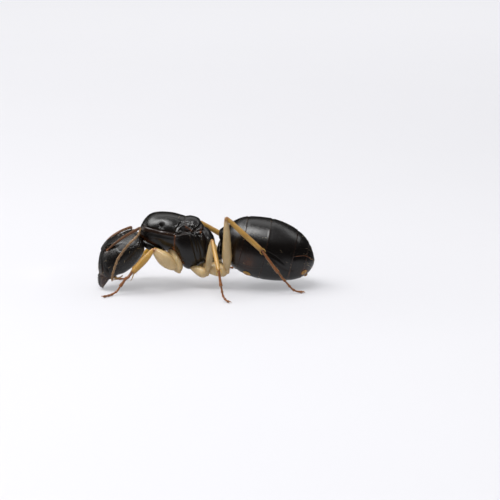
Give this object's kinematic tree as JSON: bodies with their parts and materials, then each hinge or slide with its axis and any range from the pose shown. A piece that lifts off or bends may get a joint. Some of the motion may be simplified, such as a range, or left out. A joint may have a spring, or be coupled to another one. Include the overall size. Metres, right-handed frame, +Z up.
{
  "type": "carpenter ant queen",
  "caption": "Still life-size model of a wingless carpenter ant queen, standing with her head lowered.",
  "frame": {"origin": "on the floor, under the middle of the whole animal", "axes": "+X towards the tail, -X towards the head, +Z up, -Y the ant's left side"},
  "size_m": [0.0142, 0.01, 0.0053],
  "materials": {
    "shell": "satin black cuticle with fine punctures",
    "jaw": "very dark reddish brown, striated",
    "eye": "black, finely faceted",
    "feeler": "orange brown, fine short down",
    "leg": "pale tan, slightly translucent cuticle",
    "foot": "reddish brown"
  },
  "bodies": {
    "root": {"head": "shell", "eye_left": "eye", "eye_right": "eye", "mandible_left": "jaw", "mandible_right": "jaw", "mouthparts": "feeler", "scape_left": "feeler", "lash_base_left": "feeler", "lash_tip_left": "feeler", "scape_right": "feeler", "lash_base_right": "feeler", "lash_tip_right": "feeler", "pronotum": "shell", "mesoscutum": "shell", "scutellum": "shell", "mesopleuron": "shell", "propodeum": "shell", "petiole": "shell", "gaster_1": "shell", "gaster_2": "shell", "gaster_3": "shell", "gaster_4": "shell", "gaster_5": "shell", "coxa_left_front": "leg", "trochanter_left_front": "leg", "femur_left_front": "leg", "tibia_left_front": "leg", "tarsus_left_front": "foot", "coxa_right_front": "leg", "trochanter_right_front": "leg", "femur_right_front": "leg", "tibia_right_front": "leg", "tarsus_right_front": "foot", "coxa_left_middle": "leg", "trochanter_left_middle": "leg", "femur_left_middle": "leg", "tibia_left_middle": "leg", "tarsus_left_middle": "foot", "coxa_right_middle": "leg", "trochanter_right_middle": "leg", "femur_right_middle": "leg", "tibia_right_middle": "leg", "tarsus_right_middle": "foot", "coxa_left_hind": "leg", "trochanter_left_hind": "leg", "femur_left_hind": "leg", "tibia_left_hind": "leg", "tarsus_left_hind": "foot", "coxa_right_hind": "leg", "trochanter_right_hind": "leg", "femur_right_hind": "leg", "tibia_right_hind": "leg", "tarsus_right_hind": "foot"}
  },
  "joints": []
}
